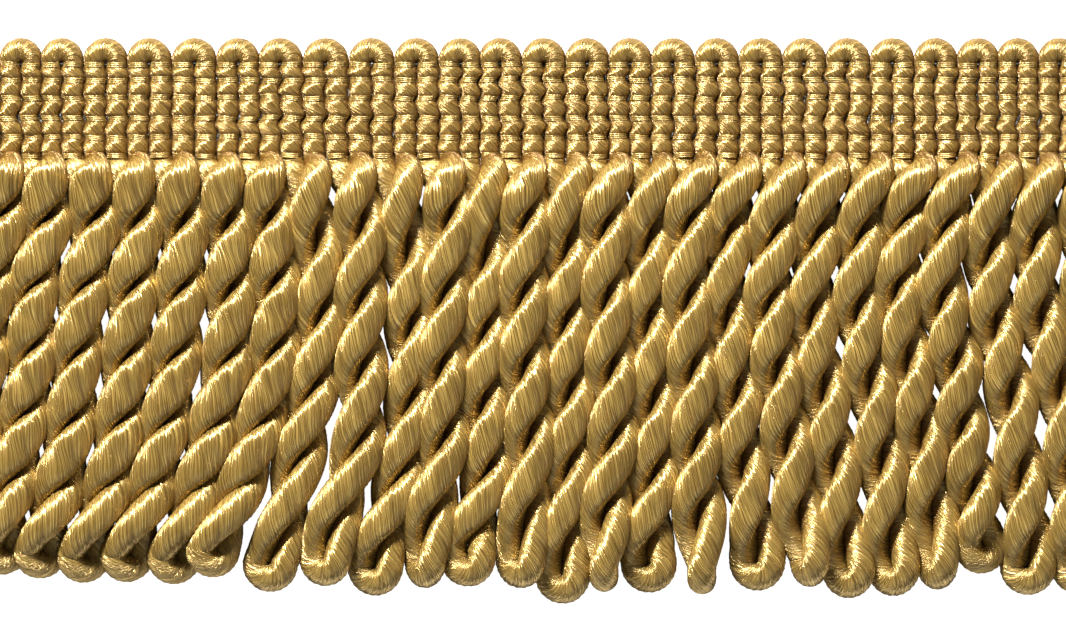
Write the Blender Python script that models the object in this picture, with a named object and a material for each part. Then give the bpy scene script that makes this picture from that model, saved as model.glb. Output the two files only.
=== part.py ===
# A cut length of cord fringe trim: a gimp heading of looped cord with a skirt of two-ply
# twisted cord loops, lying face up on its back.
# X runs along the trim, +Y points from the skirt to the scalloped top, +Z is the face.
# The origin is the middle of the heading's flat back. Sizes are millimetres until a mesh is made.
import math

import bpy
from mathutils import Vector

MM = 0.001

# Heading
LOOP_PITCH = 6.0            # one loop of the gimp cord, two ribs wide
RIB_WIDTH = LOOP_PITCH / 2
HEADING_LOW = -8.2          # lower edge, on the lowest row of binding
BINDING_ROWS = (HEADING_LOW, -5.6, -3.0, -0.2, 2.3, 4.4)
ARCH_RISE = 3.8             # top of a loop above the highest row of binding
RIB_HEIGHT = 3.2            # crest of a rib above the flat back
GROOVE_HEIGHT = 1.6         # between two ribs, and along the outer edge
EYE_HEIGHT = 1.2            # dimple in the middle of a loop
BOUND_SHARE = 0.55          # how much of its relief a rib keeps under a binding row
SHOULDERS = (0.28, 0.72)    # where a rib's flat crest starts and ends, across its width
ARCH_STEPS = 6

# Root strip that carries the cords of the skirt
PIECE_GAP = 0.3
STRIP_DROP = 1.5
STRIP_HEIGHT = 3.4

# Twisted cords
PLY_RADIAL = 1.28           # half thickness of a ply, towards its partner
PLY_ACROSS = 2.15           # half width of a twisting ply, across that
PLY_ACROSS_FLAT = 1.9       # the same where the ply runs straight, in the end loop
TWIST_RADIUS = 1.6          # from the cord's centre line to the middle of a ply
LOOP_RADIUS = 1.66          # the same in the end loop
ROOT_SHARE = 0.68           # a ply's thickness where it leaves the heading
ROOT_SWELL = 4.5            # length over which it reaches its full size
ROOT_HEIGHT = 1.75          # centre line where it leaves the heading
ROOT_TURN = -0.95           # half turns before the first eye
RINGS_A_HALF_TURN = 4       # sections of a ply for each half turn
END_STEPS = 4               # and from the last crossing to the bend
BEND_STEPS = 5
PLY_SIDES = 4

# Heights at which the table gives a cord's place along the trim
STATION_1 = -17.8
STATION_2 = -26.7
STATION_3 = -46.1

# One row for each repeat, from left to right:
# crest   x of the heading loop that the cord's front ply comes out of
# x1 to x3, x of the cord at the three stations
# end_x, end_y   lowest point of its end loop
# eye     y of the first eye, where the plies lie side by side with the front one on the right
# step    length of one half turn
# halves  half turns from the first eye to the end loop
# turn    how far the end loop is turned on edge, in half turns
COLUMNS = ("crest", "x1", "x2", "x3", "end_x", "end_y", "eye", "step", "halves", "turn")
REPEATS = (
    (-76.8, -79.3, -80.6, -83.2, -86.1, -66.8, -16.8, 9.5, 4, 0.0),
    (-70.8, -73.2, -74.8, -77.2, -80.0, -67.1, -16.0, 9.6, 4, 0.0),
    (-65.2, -67.4, -68.8, -71.1, -73.9, -66.1, -16.8, 9.3, 4, 0.1),
    (-59.1, -60.9, -62.0, -64.6, -68.2, -66.5, -16.9, 9.5, 4, 0.0),
    (-53.1, -54.5, -55.3, -57.8, -62.2, -67.2, -16.2, 9.7, 4, 0.0),
    (-46.8, -48.4, -48.8, -51.2, -56.1, -67.1, -16.9, 9.5, 4, 0.0),
    (-40.8, -42.1, -42.4, -44.6, -50.0, -67.2, -16.9, 9.5, 4, 0.0),
    (-35.0, -36.1, -35.8, -38.3, -43.7, -65.7, -16.3, 9.5, 4, 0.0),
    (-28.7, -30.4, -29.9, -31.6, -36.9, -68.1, -20.5, 10.2, 4, 0.0),
    (-22.3, -23.9, -23.8, -24.7, -29.4, -67.6, -17.3, 10.2, 4, 0.1),
    (-16.1, -17.9, -18.0, -18.6, -22.6, -68.9, -21.2, 10.2, 4, 0.0),
    (-10.0, -12.1, -12.7, -12.6, -16.2, -67.8, -16.4, 10.4, 4, 0.1),
    (-4.6, -6.5, -6.8, -6.6, -9.6, -67.8, -22.6, 9.7, 4, 0.0),
    (1.5, -1.2, -1.0, -0.6, -3.0, -67.9, -17.5, 10.1, 4, 0.0),
    (7.5, 4.5, 4.5, 5.2, 3.1, -69.6, -21.2, 9.9, 4, 0.0),
    (13.4, 10.3, 10.2, 10.9, 9.2, -68.6, -17.8, 9.7, 4, 0.5),
    (19.3, 15.9, 15.9, 16.9, 15.4, -68.8, -20.5, 10.1, 4, 0.0),
    (25.4, 21.5, 21.6, 22.8, 22.6, -68.8, -17.2, 9.8, 4, 0.5),
    (31.5, 27.3, 27.2, 28.8, 30.3, -68.2, -19.6, 10.2, 4, 0.0),
    (37.5, 33.4, 33.1, 34.9, 37.2, -67.8, -18.7, 9.6, 4, 0.25),
    (43.5, 39.6, 39.3, 41.1, 43.3, -69.3, -19.1, 10.3, 4, 0.15),
    (49.7, 45.7, 45.3, 47.6, 49.5, -69.0, -18.7, 10.3, 4, 0.15),
    (55.7, 51.7, 51.2, 53.8, 55.8, -68.6, -16.8, 9.8, 4, 0.3),
    (61.6, 57.8, 57.4, 60.2, 62.0, -66.4, -17.9, 8.5, 5, 0.2),
    (67.0, 64.0, 64.0, 67.0, 68.5, -68.9, -21.4, 10.2, 4, 0.0),
    (72.8, 70.1, 70.3, 73.4, 75.0, -68.8, -19.8, 10.0, 4, 0.0),
    (78.8, 76.1, 76.7, 80.0, 81.6, -68.2, -17.3, 9.7, 4, 0.0),
)


def read_repeats():
    """Give the table's rows as dictionaries keyed by its column names."""
    return [dict(zip(COLUMNS, row)) for row in REPEATS]


def smooth(share):
    """Ease from 0 to 1 with level ends."""
    share = min(max(share, 0.0), 1.0)
    return share * share * (3 - 2 * share)


def blend(first, last, share):
    """Give the value a share of the way from first to last."""
    return first + (last - first) * share


def loop_edges(repeats):
    """Give the x of each boundary between two heading loops, starting left of the first."""
    crests = [repeat["crest"] for repeat in repeats]
    inner = [(left + right) / 2 for left, right in zip(crests, crests[1:])]
    return [crests[0] - RIB_WIDTH] + inner


def heading_grooves(repeats):
    """Give the x of every groove of the heading, with the two cut half loops at its ends."""
    edges = loop_edges(repeats)
    grooves = [edges[0] - RIB_WIDTH]
    for edge, repeat in zip(edges, repeats):
        grooves += [edge, repeat["crest"]]
    return grooves


def heading_columns(grooves):
    """Give x and relief share across all ribs: a groove, then the two shoulders of a rib."""
    columns = []
    for left, right in zip(grooves, grooves[1:]):
        columns.append((left, 0.0))
        columns += [(blend(left, right, shoulder), 1.0) for shoulder in SHOULDERS]
    columns.append((grooves[-1], 0.0))
    return columns


def heading_rows():
    """Give y and relief share up a rib: a binding row, then the middle of the bead above it."""
    rows = []
    for low, high in zip(BINDING_ROWS, BINDING_ROWS[1:]):
        rows += [(low, BOUND_SHARE), ((low + high) / 2, 1.0)]
    rows.append((BINDING_ROWS[-1], BOUND_SHARE))
    return rows


def add_arch(points, faces, top_row, centre):
    """Fan one loop's arch over the top of its two ribs and give its outer edge, right to left."""
    left_rib = [top_row[centre - 1], top_row[centre - 2], top_row[centre - 3]]
    right_rib = [top_row[centre + 1], top_row[centre + 2], top_row[centre + 3]]
    middle = points[top_row[centre]]
    left_width = middle.x - points[left_rib[2]].x
    right_width = points[right_rib[2]].x - middle.x
    spokes = [left_rib]
    for step in range(1, ARCH_STEPS):
        angle = math.pi * step / ARCH_STEPS
        width = left_width if angle < math.pi / 2 else right_width
        spoke = []
        for share, height in zip(SHOULDERS + (1.0,), (RIB_HEIGHT, RIB_HEIGHT, GROOVE_HEIGHT)):
            x = middle.x - width * share * math.cos(angle)
            y = middle.y + ARCH_RISE * share * math.sin(angle)
            points.append(Vector((x, y, height)))
            spoke.append(len(points) - 1)
        spokes.append(spoke)
    spokes.append(right_rib)
    for first, second in zip(spokes, spokes[1:]):
        faces.append((top_row[centre], second[0], first[0]))
        faces.append((first[0], second[0], second[1], first[1]))
        faces.append((first[1], second[1], second[2], first[2]))
    return [spoke[2] for spoke in reversed(spokes[1:-1])]


def build_heading(repeats):
    """Model the heading as one solid: a flat back and a face of bound ribs and arches."""
    columns = heading_columns(heading_grooves(repeats))
    rows = heading_rows()
    relief = RIB_HEIGHT - GROOVE_HEIGHT
    points = []
    grid = []
    for y, row_share in rows:
        line = []
        for x, column_share in columns:
            points.append(Vector((x, y, GROOVE_HEIGHT + relief * row_share * column_share)))
            line.append(len(points) - 1)
        grid.append(line)
    faces = []
    for low, high in zip(grid, grid[1:]):
        for column in range(len(columns) - 1):
            faces.append((low[column], low[column + 1], high[column + 1], high[column]))

    top = grid[-1]
    steps_a_rib = len(SHOULDERS) + 1
    outline = list(grid[0]) + [line[-1] for line in grid[1:]]
    outline += [top[-2], top[-3], top[-4]]
    for loop in reversed(range(len(repeats) - 1)):
        centre = steps_a_rib * (2 * loop + 2)
        points[top[centre]].z = EYE_HEIGHT
        outline += add_arch(points, faces, top, centre)
        outline.append(top[centre - steps_a_rib])
    outline += [top[2], top[1], top[0]]
    outline += [line[0] for line in reversed(grid[1:-1])]

    back = []
    for index in outline:
        points.append(Vector((points[index].x, points[index].y, 0.0)))
        back.append(len(points) - 1)
    for place, index in enumerate(outline):
        after = (place + 1) % len(outline)
        faces.append((index, back[place], back[after], outline[after]))
    faces.append(tuple(reversed(back)))
    return points, faces


def centre_x(repeat, y):
    """Follow a cord's centre line along the trim on a smooth curve through its stations."""
    heights = (root_y(), STATION_1, STATION_2, STATION_3, repeat["end_y"])
    places = (repeat["crest"] - RIB_WIDTH, repeat["x1"], repeat["x2"], repeat["x3"], repeat["end_x"])
    slopes = []
    for index in range(len(heights)):
        before = max(index - 1, 0)
        after = min(index + 1, len(heights) - 1)
        slopes.append((places[after] - places[before]) / (heights[after] - heights[before]))
    span = 0
    while span < len(heights) - 2 and y < heights[span + 1]:
        span += 1
    length = heights[span + 1] - heights[span]
    t = (y - heights[span]) / length
    return ((2 * t**3 - 3 * t**2 + 1) * places[span] + (t**3 - 2 * t**2 + t) * length * slopes[span]
            + (3 * t**2 - 2 * t**3) * places[span + 1] + (t**3 - t**2) * length * slopes[span + 1])


def root_y():
    """Give the height at which the cords start, inside the root strip."""
    return HEADING_LOW - PIECE_GAP - STRIP_DROP / 2


def bend_y(repeat):
    """Give the height at which the two plies start to bend into each other."""
    return repeat["end_y"] + LOOP_RADIUS + PLY_RADIAL


def last_crossing(repeat):
    """Give the height at which the plies cross for the last time."""
    return repeat["eye"] - (repeat["halves"] - 0.5) * repeat["step"]


def half_turns(repeat, y):
    """Give how far the pair of plies has turned at a height, counted from the first eye."""
    turned = (repeat["eye"] - y) / repeat["step"]
    if turned < 0:
        return ROOT_TURN * (y - repeat["eye"]) / (root_y() - repeat["eye"])
    crossed = repeat["halves"] - 0.5
    if turned <= crossed:
        return turned
    share = (last_crossing(repeat) - y) / (last_crossing(repeat) - bend_y(repeat))
    return crossed + share * (2 - share) * (0.5 + repeat["turn"])


def resting_height(angle, radius, thick, wide):
    """Give the height of a cord's centre line where its lower ply just touches the surface."""
    rise, level = abs(math.sin(angle)), abs(math.cos(angle))
    return radius * rise + max(thick * rise, wide * level)


def cord_frame(repeat, y):
    """Give a cord's centre, the direction between its plies, their distance and their half sizes."""
    angle = math.pi * half_turns(repeat, y)
    join = Vector((math.cos(angle), 0.0, math.sin(angle)))
    across = Vector((-math.sin(angle), 0.0, math.cos(angle)))
    grown = smooth((root_y() - y) / ROOT_SWELL)
    ended = smooth((last_crossing(repeat) - y) / (last_crossing(repeat) - bend_y(repeat)))
    radius = blend(TWIST_RADIUS, LOOP_RADIUS, ended)
    thick = PLY_RADIAL * blend(ROOT_SHARE, 1.0, grown)
    wide = blend(PLY_ACROSS, PLY_ACROSS_FLAT, ended) * blend(ROOT_SHARE, 1.0, grown)
    end_height = resting_height(math.pi * repeat["turn"], LOOP_RADIUS, PLY_RADIAL, PLY_ACROSS_FLAT)
    height = blend(ROOT_HEIGHT, TWIST_RADIUS + PLY_RADIAL, grown)
    height = max(blend(height, end_height, ended), resting_height(angle, radius, thick, wide))
    centre = Vector((centre_x(repeat, y), y, height))
    return centre, join, across, radius, thick, wide


def ply_ring(middle, outward, across, thick, wide):
    """Give the four corners of a ply's diamond section."""
    return [middle + outward * thick, middle + across * wide,
            middle - outward * thick, middle - across * wide]


def ring_heights(repeat):
    """Give the heights of a ply's sections, so that each eye and each crossing has one."""
    turning = round((repeat["halves"] - 0.5) * RINGS_A_HALF_TURN)
    heights = [root_y()]
    for start, stop, steps in ((root_y(), repeat["eye"], RINGS_A_HALF_TURN),
                               (repeat["eye"], last_crossing(repeat), turning)):
        heights += [blend(start, stop, step / steps) for step in range(1, steps + 1)]
    for step in range(1, END_STEPS + 1):
        share = 1 - math.sqrt(1 - step / END_STEPS)
        heights.append(blend(last_crossing(repeat), bend_y(repeat), share))
    return heights


def cord_rings(repeat):
    """Give the sections down one ply, round the end loop and up the other ply."""
    down, up = [], []
    for y in ring_heights(repeat):
        centre, join, across, radius, thick, wide = cord_frame(repeat, y)
        down.append(ply_ring(centre + join * radius, join, across, thick, wide))
        up.append(ply_ring(centre - join * radius, -join, across, thick, wide))
    bend = []
    for step in range(1, BEND_STEPS):
        angle = math.pi * step / BEND_STEPS
        outward = join * math.cos(angle) - Vector((0.0, math.sin(angle), 0.0))
        bend.append(ply_ring(centre + outward * radius, outward, across, thick, wide))
    return down + bend + up[::-1]


def add_cord(points, faces, repeat):
    """Skin one cord as a closed tube."""
    start = len(points)
    rings = cord_rings(repeat)
    for ring in rings:
        points.extend(ring)
    for ring in range(len(rings) - 1):
        first = start + ring * PLY_SIDES
        for side in range(PLY_SIDES):
            after = (side + 1) % PLY_SIDES
            faces.append((first + side, first + after,
                          first + PLY_SIDES + after, first + PLY_SIDES + side))
    last = start + (len(rings) - 1) * PLY_SIDES
    faces.append(tuple(start + side for side in reversed(range(PLY_SIDES))))
    faces.append(tuple(last + side for side in range(PLY_SIDES)))


def make_object(name, points, faces, material):
    """Make an object from millimetre points and faces."""
    mesh = bpy.data.meshes.new(name)
    mesh.from_pydata([point * MM for point in points], [], faces)
    mesh.materials.append(material)
    made = bpy.data.objects.new(name, mesh)
    bpy.context.scene.collection.objects.link(made)
    return made


def make_material(name, colour, roughness):
    """Make a plain material for the solids."""
    material = bpy.data.materials.new(name)
    material.use_nodes = True
    shader = material.node_tree.nodes["Principled BSDF"]
    shader.inputs["Base Color"].default_value = colour
    shader.inputs["Roughness"].default_value = roughness
    shader.inputs["Metallic"].default_value = 0.0
    return material


def build_skirt(repeats, grooves, material):
    """Model the skirt as one solid: all cords rooted in a narrow strip under the heading."""
    left, right = grooves[0], grooves[-1]
    high = HEADING_LOW - PIECE_GAP
    low = high - STRIP_DROP
    corners = [Vector((x, y, z)) for z in (0.0, STRIP_HEIGHT)
               for x, y in ((left, low), (right, low), (right, high), (left, high))]
    sides = [(0, 3, 2, 1), (4, 5, 6, 7), (0, 1, 5, 4), (1, 2, 6, 5), (2, 3, 7, 6), (3, 0, 4, 7)]
    skirt = make_object("bullion_skirt", corners, sides, material)

    points, faces = [], []
    for repeat in repeats:
        add_cord(points, faces, repeat)
    cords = make_object("cord_tool", points, faces, material)
    cords.hide_render = True
    cords.display_type = "WIRE"

    join = skirt.modifiers.new("Root the cords", "BOOLEAN")
    join.operation = "UNION"
    join.solver = "EXACT"
    join.object = cords
    return skirt


def build():
    """Clear the scene and model the trim."""
    for old in list(bpy.data.objects):
        bpy.data.objects.remove(old, do_unlink=True)
    repeats = read_repeats()
    grooves = heading_grooves(repeats)
    gimp = make_material("gold gimp", (0.52, 0.36, 0.11, 1.0), 0.38)
    rayon = make_material("gold rayon cord", (0.48, 0.33, 0.1, 1.0), 0.34)
    points, faces = build_heading(repeats)
    make_object("heading", points, faces, gimp)
    build_skirt(repeats, grooves, rayon)


build()
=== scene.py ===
import math

import bmesh
import bpy
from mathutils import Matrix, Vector, noise


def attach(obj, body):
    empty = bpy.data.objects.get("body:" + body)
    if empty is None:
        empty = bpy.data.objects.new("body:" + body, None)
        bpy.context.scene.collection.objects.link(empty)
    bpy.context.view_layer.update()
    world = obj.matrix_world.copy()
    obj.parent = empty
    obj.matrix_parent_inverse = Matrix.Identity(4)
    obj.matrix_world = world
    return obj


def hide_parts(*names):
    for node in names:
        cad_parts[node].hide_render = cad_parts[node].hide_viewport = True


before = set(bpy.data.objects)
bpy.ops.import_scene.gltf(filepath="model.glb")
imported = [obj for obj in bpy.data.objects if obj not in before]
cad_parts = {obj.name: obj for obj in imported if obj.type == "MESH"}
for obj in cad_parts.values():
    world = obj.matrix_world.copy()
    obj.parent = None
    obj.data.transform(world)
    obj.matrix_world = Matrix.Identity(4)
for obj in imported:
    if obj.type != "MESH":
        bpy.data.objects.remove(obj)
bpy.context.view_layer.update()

MM = 0.001

# The gimp heading.
# A soft rayon cord is laid up and down in loops side by side and bound together by rows of
# fine thread, which draw it in to beads. Its loops stand free along the top as scallops.
CRESTS = (
    -76.8, -70.8, -65.2, -59.1, -53.1, -46.8, -40.8, -35.0, -28.7, -22.3, -16.1, -10.0, -4.6, 1.5,
    7.5, 13.4, 19.3, 25.4, 31.5, 37.5, 43.5, 49.7, 55.7, 61.6, 67.0, 72.8, 78.8)
HEADING_LOW = -8.2
BINDING_ROWS = (HEADING_LOW, -5.6, -3.0, -0.2, 2.3, 4.4)
ROW_WANDER = 0.3            # how far a row of binding may stray up or down
BAND_HALF = 0.36            # half height of a row
BAND_SHADE = 0.75           # strength of the painted shade along both its edges
PINCH_LENGTH = 0.8          # from there to where the rib is full again
RIB_PITCH = 3.0
RIB_HALF_WIDTH = 1.53
RIB_HALF_HEIGHT = 1.62
RIB_PRESS = 1.07            # ribs are this much wider than their room, pressed together
RIB_WANDER = 0.7            # how far the ribs may stray to the side
BEAD_SPREAD = 0.16          # how much fuller or flatter one bead is than the next
BOUND_WIDTH = 0.94          # share of its width and height that a rib keeps under the binding
BOUND_HEIGHT = 0.72
RIB_LEVEL = RIB_HALF_HEIGHT + 0.12
RIB_TAIL = 0.2              # how far a rib runs on below the lowest row
ARCH_CENTRE = 4.55          # height of the little hole in each loop
ARCH_HOLE = 0.14
ARCH_WIDTH = 1.74           # half width of the cord at the crown of a loop
ARCH_PRESS = 1.01           # how much wider it is than its room
RIB_STEP = 0.26
ARCH_SECTIONS = 22
COLUMNS = 28                # round a cord, four to each of the seven strands wrapped round it
STRAND_RELIEF = (-0.008, 0.002, 0.004, 0.002)
STRAND_SWAY = 0.04          # how far a strand lies in or out of the round
RIB_LAY = 8.6               # length in which the strands go once round a rib
ARCH_LAY = 4.2              # and round an arch, where they fan from the little hole
UV_MAP = "wrap"
GROOVE_SHADE = "groove_shade"           # painted shade in grooves, eyes and shadowed parts, from 0 to 1
FULL_SHADE_FACING = 0.95         # how squarely a flank faces its neighbour where the painted shade is full
UV_UNIT = 10.0              # one unit along the map
TABLE_GAP = 0.03            # a cord lies flat on the table, and no lower
RAGGEDNESS = 0.06           # how unevenly the filaments lie


class Section:
    """One section of a cord: its middle, the two directions across it and its half sizes.

    Near and far say how much painted shade the flanks on and off its first direction get where they face
    into a groove, from the rim on, and sunk how much painted shade all of it gets. Notch is what the upper
    part of its flank away from its first direction gives way to open the groove.
    """

    def __init__(self, middle, side, rise, half_side, half_rise, near_shade=0.0, far_shade=0.0, rim=0.4,
                 whole_shade=0.0, notch=0.0):
        self.middle = middle
        self.side = side
        self.rise = rise
        self.half_side = half_side
        self.half_rise = half_rise
        self.near_shade = near_shade
        self.far_shade = far_shade
        self.rim = rim
        self.whole_shade = whole_shade
        self.notch = notch

    def point(self, angle, proud):
        """Give the point at an angle round the section, a little proud of its outline or below it.

        Equal angles take in nearly equal lengths of its outline, also where it is flat.
        """
        flatness = (self.half_rise - self.half_side) / (self.half_rise + self.half_side)
        angle -= flatness / 2 * math.sin(2 * angle)
        flat = math.cos(angle) * (self.half_side + proud)
        tall = math.sin(angle) * (self.half_rise + proud)
        if flat < 0:
            flat *= 1 - self.notch * max(math.sin(angle) * self.rise.z - 0.2, 0.0)
        return self.middle + self.side * flat + self.rise * tall

    def groove_shade(self, angle):
        """Give how much painted shade the point at an angle gets in a groove."""
        facing = math.cos(angle)
        flank_shade = self.near_shade if facing > 0 else self.far_shade
        return max(self.whole_shade, flank_shade * smooth((abs(facing) - self.rim) / (FULL_SHADE_FACING - self.rim)))


def smooth(share):
    """Ease from 0 to 1 with level ends."""
    share = min(max(share, 0.0), 1.0)
    return share * share * (3 - 2 * share)


def wrap_cord(bm, sections, columns, lay, relief, seed=0.0):
    """Turn a grid into a cord through its sections, its mesh lines following the wrapped strands."""
    uv_layer = bm.loops.layers.uv[UV_MAP]
    groove_shade_layer = bm.verts.layers.float[GROOVE_SHADE]
    steps = len(sections) - 1
    lengths = [0.0]
    for first, second in zip(sections, sections[1:]):
        lengths.append(lengths[-1] + (second.middle - first.middle).length)
    turns = [0.0]
    for index in range(steps):
        pace = lay(sections[index].middle) if callable(lay) else lay
        turns.append(turns[-1] + (lengths[index + 1] - lengths[index]) / pace)
    grid = bmesh.ops.create_grid(bm, x_segments=steps, y_segments=columns, size=0.5, calc_uvs=True)
    seam = []
    for vert in grid["verts"]:
        ring = round((vert.co.x + 0.5) * steps)
        column = round((vert.co.y + 0.5) * columns)
        if column in (0, columns):
            seam.append(vert)
        strand = (column % columns) // len(relief)
        sway = noise.noise(Vector((lengths[ring] * 0.35, strand * 3.1, seed)))
        ragged = noise.noise(Vector((lengths[ring] * 1.9, column % columns * 0.9, seed + 50.0)))
        proud = relief[column % len(relief)] * (1.0 + 0.8 * sway) + STRAND_SWAY * sway + RAGGEDNESS * ragged
        angle = math.tau * (column / columns + turns[ring])
        vert.co = sections[ring].point(angle, proud) * MM
        vert.co.z = max(vert.co.z, TABLE_GAP * MM)
        vert[groove_shade_layer] = sections[ring].groove_shade(angle)
    for face in {face for vert in grid["verts"] for face in vert.link_faces}:
        for loop in face.loops:
            loop[uv_layer].uv.x *= lengths[-1] / UV_UNIT
    bmesh.ops.remove_doubles(bm, verts=seam, dist=0.000001)
    ends = [edge for edge in bm.edges if edge.is_boundary]
    bmesh.ops.holes_fill(bm, edges=ends)


def finish_piece(name, bm, material):
    """Make a smooth piece of a bmesh."""
    bmesh.ops.recalc_face_normals(bm, faces=bm.faces)
    mesh = bpy.data.meshes.new(name)
    bm.to_mesh(mesh)
    bm.free()
    mesh.shade_smooth()
    mesh.materials.append(material)
    piece = bpy.data.objects.new(name, mesh)
    bpy.context.scene.collection.objects.link(piece)
    return piece


def new_wrap():
    """Start a bmesh that carries the map of the wrapped strands and the painted shade of the grooves."""
    bm = bmesh.new()
    bm.loops.layers.uv.new(UV_MAP)
    bm.verts.layers.float.new(GROOVE_SHADE)
    return bm


def row_height(row, x):
    """Give the height of a row of binding at a place along the trim, for it is never quite straight."""
    return row + ROW_WANDER * noise.noise(Vector((x * 0.21, row * 2.3, 5.0)))


def rib_sway(x, y):
    """Give how far the ribs stray to the side at a place. The bottom and the arches stay put."""
    free = smooth((y - HEADING_LOW) / 1.5) * smooth((ARCH_CENTRE - y) / 1.5)
    return RIB_WANDER * free * noise.noise(Vector((x * 0.06, y * 0.62, 11.0)))


def rib_shares(apart):
    """Give how much of its width and height a rib keeps this far from the middle of a row."""
    if apart <= BAND_HALF:
        return BOUND_WIDTH, BOUND_HEIGHT
    full = min((apart - BAND_HALF) / PINCH_LENGTH, 1.0)
    full = math.sqrt(1 - (1 - full) ** 2)
    return BOUND_WIDTH + (1 - BOUND_WIDTH) * full, BOUND_HEIGHT + (1 - BOUND_HEIGHT) * full


def rib_section(x, y, half_width, upward):
    """Give a rib's section at a height. Its first side is that towards the middle of its loop."""
    apart = min(abs(y - row_height(row, x)) for row in BINDING_ROWS)
    width_share, height_share = rib_shares(apart)
    beside = max(0.0, 1 - abs(apart - BAND_HALF - 0.1) / RIB_STEP)
    full = 1 + BEAD_SPREAD * noise.noise(Vector((x * 0.9, y * 0.4, 21.0)))
    middle = Vector((x + rib_sway(x, y), y, RIB_LEVEL))
    side = Vector((1.0, 0.0, 0.0)) if upward else Vector((-1.0, 0.0, 0.0))
    # The flanks facing the neighbouring ribs and both edges of each binding row get painted shade.
    return Section(middle, side, Vector((0.0, 0.0, 1.0)),
                   half_width * width_share, RIB_HALF_HEIGHT * height_share * full, 1.0, 1.0,
                   rim=0.6, whole_shade=BAND_SHADE * beside)


def rib_heights():
    """Give the heights of a rib's sections from the bottom to the spring of the arch."""
    length = ARCH_CENTRE - HEADING_LOW + RIB_TAIL
    steps = round(length / RIB_STEP)
    return [HEADING_LOW - RIB_TAIL + length * step / steps for step in range(steps)]


def loop_sections(left, crest, right):
    """Follow the cord up the left rib, round the arch and down the right rib."""
    sections = []
    for y in rib_heights():
        sections.append(rib_section((left + crest) / 2, y, (crest - left) / 2 * RIB_PRESS, True))
    for step in range(ARCH_SECTIONS + 1):
        angle = math.pi * step / ARCH_SECTIONS
        share = math.sin(angle)
        reach = (crest - left) if angle < math.pi / 2 else (right - crest)
        half = (reach - ARCH_HOLE) / 2
        half += (ARCH_WIDTH - half) * share
        outward = Vector((-math.cos(angle), math.sin(angle), 0.0))
        middle = Vector((crest, ARCH_CENTRE, RIB_LEVEL)) + outward * (ARCH_HOLE + half)
        tall = RIB_HALF_HEIGHT * (BOUND_HEIGHT + (1 - BOUND_HEIGHT) * min(1.0, share * 2.0))
        # The flank towards the little hole, and less the outer rim, get painted shade.
        sections.append(Section(middle, -outward, Vector((0.0, 0.0, 1.0)), half * ARCH_PRESS, tall,
                                1.0, 0.9 - 0.3 * share, rim=0.58))
    for y in reversed(rib_heights()):
        sections.append(rib_section((crest + right) / 2, y, (right - crest) / 2 * RIB_PRESS, False))
    return sections


def gimp_lay(middle):
    """Give the lay of the strands at a place on the gimp."""
    share = min(max((middle.y - ARCH_CENTRE) / 1.2, 0.0), 1.0)
    return RIB_LAY + (ARCH_LAY - RIB_LAY) * share


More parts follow.
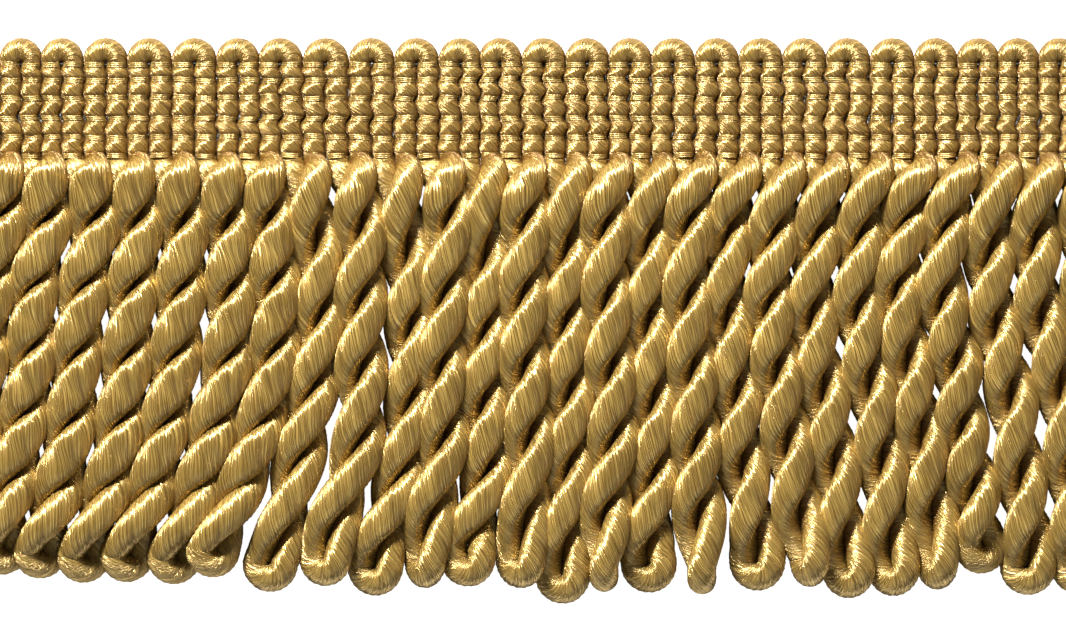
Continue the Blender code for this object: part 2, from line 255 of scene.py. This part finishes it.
def rayon_wrap_group():
    """Make the node group of the wrapped rayon filaments."""
    group = bpy.data.node_groups.new("rayon wrap", "ShaderNodeTree")
    face = group.interface
    face.new_socket("Map", in_out="INPUT", socket_type="NodeSocketVector")
    socket = face.new_socket("Filaments", in_out="INPUT", socket_type="NodeSocketFloat")
    socket.default_value = 80.0
    for name in ("Filament", "Crease", "Tone", "Shift", "Height"):
        face.new_socket(name, in_out="OUTPUT", socket_type="NodeSocketFloat")
    nodes, links = group.nodes, group.links
    given = nodes.new("NodeGroupInput")
    result = nodes.new("NodeGroupOutput")

    def sums(operation, first, second):
        node = nodes.new("ShaderNodeMath")
        node.operation = operation
        for index, value in enumerate((first, second)):
            if isinstance(value, float):
                node.inputs[index].default_value = value
            else:
                links.new(value, node.inputs[index])
        return node.outputs[0]

    def ranged(value, low, high, to_low, to_high):
        node = nodes.new("ShaderNodeMapRange")
        node.interpolation_type = "SMOOTHSTEP"
        links.new(value, node.inputs["Value"])
        for name, number in (("From Min", low), ("From Max", high), ("To Min", to_low), ("To Max", to_high)):
            node.inputs[name].default_value = number
        return node.outputs["Result"]

    def cloud(along, around, detail, place):
        joined = nodes.new("ShaderNodeCombineXYZ")
        links.new(along, joined.inputs["X"])
        links.new(around, joined.inputs["Y"])
        joined.inputs["Z"].default_value = place
        texture = nodes.new("ShaderNodeTexNoise")
        texture.inputs["Scale"].default_value = 1.0
        texture.inputs["Detail"].default_value = detail
        texture.inputs["Roughness"].default_value = 0.6
        links.new(joined.outputs["Vector"], texture.inputs["Vector"])
        return texture.outputs["Fac"]

    split = nodes.new("ShaderNodeSeparateXYZ")
    links.new(given.outputs["Map"], split.inputs["Vector"])
    along, around = split.outputs["X"], split.outputs["Y"]
    drift = cloud(sums("MULTIPLY", along, 2.2), sums("MULTIPLY", around, 5.0), 1.0, 3.0)
    drift = sums("SUBTRACT", drift, 0.5)
    fine = sums("MULTIPLY", sums("ADD", around, sums("MULTIPLY", drift, 0.06)), given.outputs["Filaments"])
    finest = sums("MULTIPLY", fine, 1.25)
    filament = ranged(cloud(sums("MULTIPLY", along, 2.2), finest, 1.0, 0.0), 0.36, 0.64, 0.0, 1.0)
    bundle = cloud(sums("MULTIPLY", along, 1.6), sums("MULTIPLY", fine, 0.4), 1.0, 17.0)
    crease = ranged(cloud(sums("MULTIPLY", along, 1.3), fine, 1.0, 9.0), 0.32, 0.40, 1.0, 0.0)
    tone = cloud(sums("MULTIPLY", along, 1.1), sums("MULTIPLY", around, 6.0), 2.0, 29.0)
    shift = cloud(sums("MULTIPLY", along, 1.5), sums("MULTIPLY", fine, 0.8), 1.0, 43.0)
    shift = sums("MULTIPLY", sums("SUBTRACT", shift, 0.5), 2.0)
    height = sums("ADD", sums("MULTIPLY", filament, 0.5), bundle)
    height = sums("SUBTRACT", height, sums("MULTIPLY", crease, 0.6))
    made = (("Filament", filament), ("Crease", crease), ("Tone", tone), ("Shift", shift), ("Height", height))
    for name, value in made:
        links.new(value, result.inputs[name])
    return group


rayon_wrap = rayon_wrap_group()
FILAMENT_LEAN = 0.38        # how far single filaments lie out of the smooth surface
SHADE_EDGE_RAGGED = 0.3         # how far they stray over the edge of the painted shade in a groove


def rayon_material(name, shade_colour, body, light, filaments, relief):
    """Make a finish of wrapped rayon: satin filaments that shine across their run."""
    material = bpy.data.materials.new(name)
    material.use_nodes = True
    nodes, links = material.node_tree.nodes, material.node_tree.links
    shader = nodes["Principled BSDF"]
    where = nodes.new("ShaderNodeUVMap")
    where.uv_map = UV_MAP
    wrap = nodes.new("ShaderNodeGroup")
    wrap.node_tree = rayon_wrap
    wrap.inputs["Filaments"].default_value = filaments
    links.new(where.outputs["UV"], wrap.inputs["Map"])

    def mixed(share, first, second):
        node = nodes.new("ShaderNodeMix")
        node.data_type = "RGBA"
        links.new(share, node.inputs["Factor"])
        for socket, value in ((node.inputs[6], first), (node.inputs[7], second)):
            if isinstance(value, tuple):
                socket.default_value = value
            else:
                links.new(value, socket)
        return node.outputs[2]

    def scaled(value, by, plus=0.0, clamp=True):
        node = nodes.new("ShaderNodeMath")
        node.operation = "MULTIPLY_ADD"
        node.use_clamp = clamp
        links.new(value, node.inputs[0])
        node.inputs[1].default_value = by
        if isinstance(plus, float):
            node.inputs[2].default_value = plus
        else:
            links.new(plus, node.inputs[2])
        return node.outputs[0]

    colour = mixed(wrap.outputs["Filament"], body, light)
    colour = mixed(scaled(wrap.outputs["Tone"], 1.4, -0.5), colour, body)
    # The fine creases between filaments are darkened toward the colour of painted shade.
    colour = mixed(scaled(wrap.outputs["Crease"], 0.75), colour, shade_colour)
    # Grooves, eyes and shadowed parts are painted in the shade colour, with a ragged edge along the
    # filaments.
    groove = nodes.new("ShaderNodeAttribute")
    groove.attribute_name = GROOVE_SHADE
    ragged = scaled(wrap.outputs["Shift"], SHADE_EDGE_RAGGED, groove.outputs["Fac"], clamp=False)
    shade_share = nodes.new("ShaderNodeMapRange")
    shade_share.interpolation_type = "SMOOTHSTEP"
    links.new(ragged, shade_share.inputs["Value"])
    for socket, number in (("From Min", 0.25), ("From Max", 0.8), ("To Min", 0.0), ("To Max", 0.8)):
        shade_share.inputs[socket].default_value = number
    colour = mixed(shade_share.outputs["Result"], colour, shade_colour)
    links.new(colour, shader.inputs["Base Color"])
    links.new(scaled(wrap.outputs["Filament"], -0.08, 0.35), shader.inputs["Roughness"])
    bump = nodes.new("ShaderNodeBump")
    bump.inputs["Strength"].default_value = 1.0
    bump.inputs["Distance"].default_value = relief
    links.new(wrap.outputs["Height"], bump.inputs["Height"])
    run = nodes.new("ShaderNodeTangent")
    run.direction_type = "UV_MAP"
    run.uv_map = UV_MAP
    links.new(run.outputs["Tangent"], shader.inputs["Tangent"])
    lean = nodes.new("ShaderNodeVectorMath")
    lean.operation = "SCALE"
    links.new(run.outputs["Tangent"], lean.inputs[0])
    links.new(scaled(wrap.outputs["Shift"], FILAMENT_LEAN, clamp=False), lean.inputs["Scale"])
    leaning = nodes.new("ShaderNodeVectorMath")
    leaning.operation = "ADD"
    links.new(bump.outputs["Normal"], leaning.inputs[0])
    links.new(lean.outputs[0], leaning.inputs[1])
    facing = nodes.new("ShaderNodeVectorMath")
    facing.operation = "NORMALIZE"
    links.new(leaning.outputs[0], facing.inputs[0])
    links.new(facing.outputs[0], shader.inputs["Normal"])
    shader.inputs["Metallic"].default_value = 0.5
    shader.inputs["IOR"].default_value = 1.9
    shader.inputs["Specular IOR Level"].default_value = 0.7
    shader.inputs["Specular Tint"].default_value = (1.0, 0.95, 0.75, 1.0)
    shader.inputs["Anisotropic"].default_value = 0.92
    shader.inputs["Anisotropic Rotation"].default_value = 0.25
    return material


gimp = rayon_material(
    "gold gimp rayon", shade_colour=(0.15, 0.072, 0.015, 1.0), body=(0.19, 0.104, 0.019, 1.0),
    light=(0.53, 0.34, 0.087, 1.0), filaments=40.0, relief=0.00013)
edges = [CRESTS[0] - RIB_PITCH] + [(a + b) / 2 for a, b in zip(CRESTS, CRESTS[1:])]
bm = new_wrap()
first_rib = [rib_section(edges[0] - RIB_PITCH / 2, y, RIB_HALF_WIDTH, True) for y in rib_heights()]
wrap_cord(bm, first_rib, COLUMNS, gimp_lay, STRAND_RELIEF)
for index, (left, crest, right) in enumerate(zip(edges, CRESTS, edges[1:])):
    wrap_cord(bm, loop_sections(left, crest, right), COLUMNS, gimp_lay, STRAND_RELIEF, index * 7.7)
last_rib = [rib_section((edges[-1] + CRESTS[-1]) / 2, y, RIB_HALF_WIDTH, True) for y in rib_heights()]
wrap_cord(bm, last_rib, COLUMNS, gimp_lay, STRAND_RELIEF, 300.0)
gimp_heading = finish_piece("gimp_heading", bm, gimp)
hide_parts("heading")
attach(gimp_heading, "root")

# The binding threads.
# Three fine rayon threads run side by side along each of six rows. They lie over every rib
# and dip between them, and a fourth runs behind, as a crochet machine works them.
THREAD_RADIUS = 0.13
THREADS = (-0.24, 0.0, 0.24)
THREAD_COLUMNS = 6
THREAD_STEPS = 8            # over one rib
THREAD_LAY = 1.4
THREAD_RELIEF = (0.0,)      # a thread is too fine to show strands
THREAD_SHADE = 0.8          # depth below a rib's crest at which it is painted fully in shade
GROOVE_DEPTH = 1.45         # height to which a thread dips between two ribs
rib_edges = [edges[0] - RIB_PITCH]
for edge, crest in zip(edges, CRESTS):
    rib_edges += [edge, crest]


def thread_sections(row, shift, front):
    """Run one thread over all the ribs, or behind them."""
    places = []
    for left, right in zip(rib_edges, rib_edges[1:]):
        for step in range(THREAD_STEPS):
            share = 2 * step / THREAD_STEPS - 1
            arch = math.sqrt(max(0.0, 1 - share * share))
            tall = max(RIB_HALF_HEIGHT * BOUND_HEIGHT * arch + THREAD_RADIUS * 0.5, GROOVE_DEPTH - RIB_LEVEL)
            x = (left + right) / 2 + share * (right - left) / 2
            y = row_height(row, x) + shift
            places.append(Vector((x + rib_sway(x, y), y, RIB_LEVEL + (tall if front else -tall))))
    sections = []
    for index, place in enumerate(places):
        after = places[min(index + 1, len(places) - 1)]
        before = places[max(index - 1, 0)]
        run = (after - before).normalized()
        side = Vector((0.0, 1.0, 0.0))
        rise = side.cross(run).normalized()
        # Where a thread dips between the ribs it is painted in shade.
        whole_shade = smooth((RIB_LEVEL + RIB_HALF_HEIGHT * BOUND_HEIGHT - place.z) / THREAD_SHADE)
        sections.append(Section(place, side, rise, THREAD_RADIUS, THREAD_RADIUS, whole_shade=whole_shade))
    return sections


binding = rayon_material(
    "gold binding rayon", shade_colour=(0.09, 0.038, 0.006, 1.0), body=(0.36, 0.23, 0.06, 1.0),
    light=(0.60, 0.42, 0.14, 1.0), filaments=8.0, relief=0.00002)
bm = new_wrap()
for row in BINDING_ROWS:
    for shift in THREADS:
        front = thread_sections(row, shift, True)
        wrap_cord(bm, front, THREAD_COLUMNS, THREAD_LAY, THREAD_RELIEF, row + shift)
    back = thread_sections(row, 0.0, False)
    wrap_cord(bm, back, THREAD_COLUMNS, THREAD_LAY, THREAD_RELIEF, row + 50.0)
binding_threads = finish_piece("binding_threads", bm, binding)
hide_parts("heading")
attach(binding_threads, "root")

# The bullion skirt.
# Below the heading the same rayon cord hangs in long loops. Each front leg is laid round its
# neighbour's back leg to a two-ply cord that ends in a closed loop.
ROOT_Y = HEADING_LOW - 0.1  # where the legs leave the heading
FOOT_RADIUS = 2.0           # half the distance between the legs of an end loop
FOOT_THICK = 2.02
FOOT_WIDE = 2.0


class Cord:
    """One bullion cord: its eyes, where the two legs lie side by side, and the foot of its loop.

    Turn is what the legs turn after the last eye, in half turns. The lifts raise the cord and
    its loop over the neighbours. Swell is the half width of the first ply below the heading,
    and wide that of the others where they lie in front.
    """

    def __init__(self, eyes, foot, turn=0.12, lift=0.0, foot_lift=0.0, swell=2.4, wide=2.35):
        self.eyes = eyes
        self.foot = foot
        self.turn = turn
        self.lift = lift
        self.foot_lift = foot_lift
        self.swell = swell
        self.wide = wide
        self.bend = foot[1] + FOOT_RADIUS + FOOT_THICK
        self.root_x = 0.0


CORDS = (
    Cord(((-79.3, -16.8), (-80.5, -26.3), (-81.6, -35.8), (-82.6, -45.2), (-83.8, -54.4)),
         (-84.9, -66.8), turn=0.85, swell=2.8, wide=2.7),
    Cord(((-73.2, -16.0), (-74.8, -25.6), (-75.8, -35.2), (-76.7, -44.8), (-77.6, -54.2)),
         (-78.9, -67.1), turn=0.85, swell=2.8, wide=2.7),
    Cord(((-67.2, -16.9), (-69.1, -26.2), (-69.2, -34.8), (-70.3, -43.9), (-72.0, -52.9)),
         (-73.4, -66.1), turn=0.85, swell=3.15, wide=2.75),
    Cord(((-60.4, -16.6), (-62.0, -26.1), (-63.1, -35.7), (-63.9, -45.0), (-65.7, -54.5)),
         (-68.1, -66.6), turn=0.85, swell=3.15, wide=2.75),
    Cord(((-54.5, -16.9), (-55.3, -26.3), (-56.0, -35.9), (-57.0, -45.0), (-58.6, -53.6)),
         (-62.1, -67.2), turn=0.85, swell=2.8, wide=2.7),
    Cord(((-48.3, -17.2), (-48.7, -26.7), (-49.4, -35.7), (-50.9, -45.3), (-52.7, -53.8)),
         (-56.1, -67.1), turn=0.85, swell=2.8, wide=2.7),
    Cord(((-42.1, -17.3), (-41.8, -26.7), (-42.1, -36.2), (-44.2, -45.7), (-46.3, -54.1)),
         (-49.6, -67.4), turn=0.85, swell=2.8, wide=2.7),
    Cord(((-36.3, -16.5), (-35.7, -25.5), (-35.7, -34.9), (-37.8, -45.5), (-40.7, -54.1)),
         (-44.2, -66.4), turn=0.85, foot_lift=1.5, wide=2.7),
    Cord(((-29.9, -20.2), (-29.3, -30.0), (-30.5, -40.6), (-32.3, -50.0), (-35.2, -61.6)),
         (-36.3, -68.5)),
    Cord(((-23.7, -17.7), (-23.8, -28.0), (-23.7, -37.7), (-24.1, -47.9), (-27.6, -59.0)),
         (-28.7, -67.6), turn=0.2, lift=1.2, foot_lift=1.0),
    Cord(((-17.4, -21.6), (-16.9, -31.6), (-16.9, -41.9), (-18.4, -52.4), (-21.4, -62.4)),
         (-21.8, -69.0)),
    Cord(((-11.5, -16.0), (-12.3, -27.2), (-12.7, -37.2), (-12.3, -47.1), (-14.2, -58.0)),
         (-14.9, -67.9), turn=0.36, lift=1.2),
    Cord(((-6.7, -22.5), (-6.7, -32.3), (-6.9, -42.2), (-6.3, -51.7), (-9.0, -61.4)),
         (-9.0, -67.7), foot_lift=1.5),
    Cord(((-1.0, -16.9), (-1.4, -27.2), (-1.2, -37.2), (-0.4, -46.7), (-1.1, -58.4)),
         (-1.7, -67.9), turn=0.25, lift=1.2, foot_lift=0.5),
    Cord(((4.6, -21.2), (4.5, -31.0), (5.1, -40.6), (5.0, -50.8), (4.2, -62.6)),
         (4.1, -70.1)),
    Cord(((10.0, -17.8), (10.2, -27.6), (10.8, -37.6), (11.1, -47.2), (9.9, -57.2)),
         (9.8, -68.4), turn=0.5, lift=1.2, foot_lift=1.2),
    Cord(((15.9, -20.0), (16.0, -30.8), (16.6, -41.9), (16.7, -52.1), (15.7, -62.2)),
         (16.0, -68.6)),
    Cord(((21.6, -17.0), (21.4, -27.8), (22.0, -37.5), (22.5, -47.7), (22.9, -57.2)),
         (23.3, -68.8), turn=0.5, lift=1.2, foot_lift=0.5),
    Cord(((26.9, -18.8), (26.8, -30.4), (28.2, -40.7), (28.9, -50.6), (31.0, -61.6)),
         (31.0, -68.3)),
    Cord(((33.2, -19.2), (32.6, -28.3), (33.7, -37.6), (35.1, -47.4), (36.8, -58.0)),
         (38.2, -67.7), turn=0.38, lift=0.8, foot_lift=0.6),
    Cord(((39.1, -19.3), (38.5, -30.0), (40.1, -40.2), (41.6, -50.3), (42.9, -61.6)),
         (43.6, -69.3), turn=0.2),
    Cord(((45.2, -19.1), (44.9, -29.0), (46.5, -39.2), (48.2, -50.0), (49.2, -61.4)),
         (49.8, -69.0), turn=0.2),
    Cord(((51.5, -16.8), (50.3, -26.0), (51.7, -36.2), (53.6, -46.5), (55.1, -57.6)),
         (55.8, -68.1), turn=0.36),
    Cord(((57.0, -17.8), (56.4, -28.0), (58.4, -36.4), (59.2, -45.3), (60.8, -53.7)),
         (61.9, -65.9), turn=0.85, lift=0.5, foot_lift=0.5),
    Cord(((63.0, -21.6), (63.9, -31.3), (66.0, -40.9), (67.3, -52.2), (68.7, -62.4)),
         (68.4, -68.9)),
    Cord(((69.3, -19.8), (70.2, -30.3), (72.8, -39.8), (74.2, -50.5), (75.0, -61.7)),
         (75.4, -68.8)),
    Cord(((76.1, -17.3), (76.5, -27.2), (78.6, -37.2), (80.2, -47.2), (81.0, -57.8)),
         (81.6, -68.2), turn=0.34),
)
ROOT_RADIUS = 1.5           # half the distance between two ribs
ROOT_SPREAD = 1.95          # and just below them, where the legs swell
ROOT_THICK = 1.5
ROOT_FULL = 2.05
ROOT_HEIGHT = 1.9
ROOT_SHADE = 0.66           # strength of the painted shade on a leg just below the heading
ROOT_SHADE_LENGTH = 3.2     # how far down it reaches
ROOT_SHADE_FADE = 2.0       # and the length in which it ends
SWELL_LENGTH = 2.4          # length over which the legs swell
WIDEN_LENGTH = 3.6          # and grow as wide as they get
RISE_LENGTH = 6.0           # and reach their height above the table
PLY_THICK = 1.74            # half size of a ply towards its partner, where they cross
PLY_EYE = 2.1               # and across that, where it lies beside its partner
EYE_THICK = 1.98            # half size towards the partner there
EYE_RADIUS = 1.86           # from the cord's middle to that of a ply there
EYE_NOTCH = 0.62            # share of its width by which a ply gives way, which opens the eye
EYE_SHADE = 0.5             # strength of the painted shade on the flank of the left ply there
EYE_FADE = 3.0              # length above the loop in which the eyes' painted shade ends
TWIST_RADIUS = 1.7          # from the cord's middle to that of a ply where they cross
CROSSING_SLANT = 1.15       # how much steeper the legs cross than an even twist would
LOOP_EASE = 2.0             # how far above the last eye the cord starts to open to its loop
LOOP_HASTE = 0.35           # how much faster it turns at first there
PLY_LAY = 8.0               # length in which the filaments go once round a ply
SECTION_STEP = 0.5


def blend(first, last, share):
    """Give the value a share of the way from first to last."""
    return first + (last - first) * share


def centre_x(cord, y):
    """Follow a cord's centre line along the trim on a smooth curve through its eyes."""
    stops = [(cord.root_x, ROOT_Y), *cord.eyes, (cord.foot[0], cord.bend)]
    slopes = []
    for index in range(len(stops)):
        before = stops[max(index - 1, 0)]
        after = stops[min(index + 1, len(stops) - 1)]
        slopes.append((after[0] - before[0]) / (after[1] - before[1]))
    span = 0
    while span < len(stops) - 2 and y < stops[span + 1][1]:
        span += 1
    (first_x, first_y), (last_x, last_y) = stops[span:span + 2]
    length = last_y - first_y
    t = (y - first_y) / length
    return ((2 * t**3 - 3 * t**2 + 1) * first_x + (t**3 - 2 * t**2 + t) * length * slopes[span]
            + (3 * t**2 - 2 * t**3) * last_x + (t**3 - t**2) * length * slopes[span + 1])


def half_turns(cord, y):
    """Give how far the pair of legs has turned at a height, counted from the first eye."""
    heights = [ROOT_Y] + [eye[1] for eye in cord.eyes] + [cord.bend]
    span = 0
    while span < len(heights) - 2 and y < heights[span + 1]:
        span += 1
    share = (heights[span] - y) / (heights[span] - heights[span + 1])
    if span == len(heights) - 2:
        return span - 1 + cord.turn * share * (1 + LOOP_HASTE - LOOP_HASTE * share)
    return span - 1 + share


def legs_apart(turns):
    """Give how far a leg lies to the side of the cord's middle and above it, as a share of the radius.

    The legs cross at a steep slant and then run on side by side for a while.
    """
    side, above = math.cos(math.pi * turns), math.sin(math.pi * turns)
    return Vector((side * (CROSSING_SLANT - (CROSSING_SLANT - 1) * side * side), 0.0, above))


def resting_height(apart, radius, thick, wide):
    """Give the height at which a pair of legs just rests on the table."""
    join = apart.normalized()
    return radius * abs(apart.z) + math.hypot(thick * join.z, wide * join.x) + 0.05


def ply_place(cord, y, which):
    """Give the pair's middle, the way from there to one leg, and the leg's half sizes."""
    apart = legs_apart(half_turns(cord, y))
    swollen = smooth((ROOT_Y - y) / SWELL_LENGTH)
    settled = smooth((ROOT_Y - 1.0 - y) / (ROOT_Y - 1.0 - cord.eyes[0][1]))
    grown = smooth((ROOT_Y - y) / WIDEN_LENGTH)
    opening = cord.eyes[-1][1] + LOOP_EASE
    footed = smooth((opening - y) / (opening - cord.bend))
    beside = apart.x * apart.x
    radius = blend(blend(ROOT_RADIUS, ROOT_SPREAD, swollen),
                   blend(TWIST_RADIUS, EYE_RADIUS, beside), settled)
    thick = blend(blend(ROOT_THICK, ROOT_FULL, swollen),
                  blend(PLY_THICK, EYE_THICK, beside), settled)
    wide = blend(blend(ROOT_THICK, cord.swell, grown),
                 blend(PLY_EYE, cord.wide, abs(apart.z)), settled)
    radius = blend(radius, FOOT_RADIUS, footed)
    thick = blend(thick, FOOT_THICK, footed)
    wide = blend(wide, FOOT_WIDE, footed)
    risen = smooth((ROOT_Y - y) / RISE_LENGTH)
    height = blend(ROOT_HEIGHT, TWIST_RADIUS + PLY_THICK + cord.lift, risen)
    foot_apart = legs_apart(half_turns(cord, cord.bend))
    foot_height = resting_height(foot_apart, FOOT_RADIUS, FOOT_THICK, FOOT_WIDE) + cord.foot_lift
    height = max(blend(height, foot_height, footed), resting_height(apart, radius, thick, wide))
    return Vector((centre_x(cord, y), y, height)), apart * radius * which, thick, wide


def ply_sections(cord):
    """Follow one leg down, round the end loop and up the other leg."""
    steps = round((ROOT_Y - cord.bend) / SECTION_STEP)
    heights = [blend(ROOT_Y, cord.bend, step / steps) for step in range(steps + 1)]
    rows = []
    for which, ys in ((1, heights), (-1, heights[::-1])):
        for y in ys:
            centre, apart, thick, wide = ply_place(cord, y, which)
            rows.append((centre + apart, apart, thick, wide))
        if which == 1:
            bends = round(math.pi * apart.length / SECTION_STEP)
            for step in range(1, bends):
                angle = math.pi * step / bends
                outward = apart * math.cos(angle) - Vector((0.0, math.sin(angle) * apart.length, 0.0))
                rows.append((centre + outward, outward, thick, wide))
    sections = []
    for index, (middle, outward, thick, wide) in enumerate(rows):
        run = (rows[min(index + 1, len(rows) - 1)][0] - rows[max(index - 1, 0)][0]).normalized()
        outward = (outward - run * outward.dot(run)).normalized()
        across = outward.cross(run)
        # A leg's inner flank gets painted shade where the legs lie side by side, more on the right leg,
        # fading out above the loop; the right leg also gets painted shade just below the heading.
        beside = outward.x
        if beside > 0:
            flank_shade = smooth((beside - 0.35) / 0.4)
        else:
            flank_shade = EYE_SHADE * smooth((-beside - 0.5) / 0.4)
        flank_shade *= smooth((middle.y - cord.bend) / EYE_FADE)
        shaded = ROOT_SHADE * smooth((middle.y - ROOT_Y + ROOT_SHADE_LENGTH) / ROOT_SHADE_FADE)
        shaded *= smooth(beside / 0.3)
        sections.append(Section(middle, outward, across, thick, wide, 0.0, flank_shade, rim=0.3,
                                whole_shade=shaded, notch=EYE_NOTCH * abs(beside)))
    return sections


bullion = rayon_material(
    "gold bullion rayon", shade_colour=(0.20, 0.088, 0.017, 1.0), body=(0.20, 0.117, 0.023, 1.0),
    light=(0.64, 0.43, 0.115, 1.0), filaments=54.0, relief=0.00013)
for index, (edge, cord) in enumerate(zip(edges, CORDS)):
    cord.root_x = edge
    bm = new_wrap()
    wrap_cord(bm, ply_sections(cord), COLUMNS, PLY_LAY, STRAND_RELIEF, 40.0 + index * 5.3)
    bullion_cord = finish_piece(f"bullion_cord_{index + 1:02d}", bm, bullion)
    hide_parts("bullion_skirt")
    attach(bullion_cord, "root")

# The stage.
# A plain white floor that glows a little to the camera, under a long narrow light from behind
# the heading and a broad soft one from below the loops, and a long lens straight above.
FLOOR_SIZE = 6.0
bm = bmesh.new()
bmesh.ops.create_grid(bm, x_segments=1, y_segments=1, size=FLOOR_SIZE / 2)
mesh = bpy.data.meshes.new("floor")
bm.to_mesh(mesh)
bm.free()
floor = bpy.data.objects.new("floor", mesh)
bpy.context.scene.collection.objects.link(floor)
paper = bpy.data.materials.new("white paper")
paper.use_nodes = True
shader = paper.node_tree.nodes["Principled BSDF"]
shader.inputs["Base Color"].default_value = (0.9, 0.9, 0.9, 1.0)
shader.inputs["Roughness"].default_value = 0.9
shader.inputs["Emission Color"].default_value = (1.0, 1.0, 1.0, 1.0)
seen = paper.node_tree.nodes.new("ShaderNodeLightPath")
paper.node_tree.links.new(seen.outputs["Is Camera Ray"], shader.inputs["Emission Strength"])
mesh.materials.append(paper)


def aim(thing, place, target):
    """Put a camera or a lamp at a place, turned to a target."""
    thing.location = place
    thing.rotation_euler = (target - place).to_track_quat("-Z", "Y").to_euler()


PHOTO_WIDTH = 0.14732       # what the photograph's width takes in
CAMERA_HEIGHT = 1.5
camera_data = bpy.data.cameras.new("camera")
camera = bpy.data.objects.new("camera", camera_data)
bpy.context.scene.collection.objects.link(camera)
camera.location = (0.0, -0.02964, CAMERA_HEIGHT)
camera_data.sensor_width = 36.0
camera_data.lens = camera_data.sensor_width * (CAMERA_HEIGHT - 0.003) / PHOTO_WIDTH
camera_data.clip_start = 0.05
camera_data.clip_end = 20.0
bpy.context.scene.camera = camera

centre = Vector((0.0, -0.03, 0.0))
key_data = bpy.data.lights.new("key", "AREA")
key_data.shape = "RECTANGLE"
key_data.size = 0.5
key_data.size_y = 0.12
key_data.energy = 41.0
key_data.color = (1.0, 0.98, 0.94)
key = bpy.data.objects.new("key", key_data)
bpy.context.scene.collection.objects.link(key)
aim(key, centre + Vector((-0.3, 0.76, 0.57)), centre)

fill_data = bpy.data.lights.new("fill", "AREA")
fill_data.shape = "RECTANGLE"
fill_data.size = 2.0
fill_data.size_y = 1.1
fill_data.energy = 5.6
fill = bpy.data.objects.new("fill", fill_data)
bpy.context.scene.collection.objects.link(fill)
aim(fill, centre + Vector((0.1, -0.8, 0.85)), centre)

world = bpy.data.worlds.new("studio")
world.use_nodes = True
world.node_tree.nodes["Background"].inputs["Color"].default_value = (1.0, 1.0, 1.0, 1.0)
world.node_tree.nodes["Background"].inputs["Strength"].default_value = 0.05
bpy.context.scene.world = world
bpy.context.scene.view_settings.view_transform = "Standard"
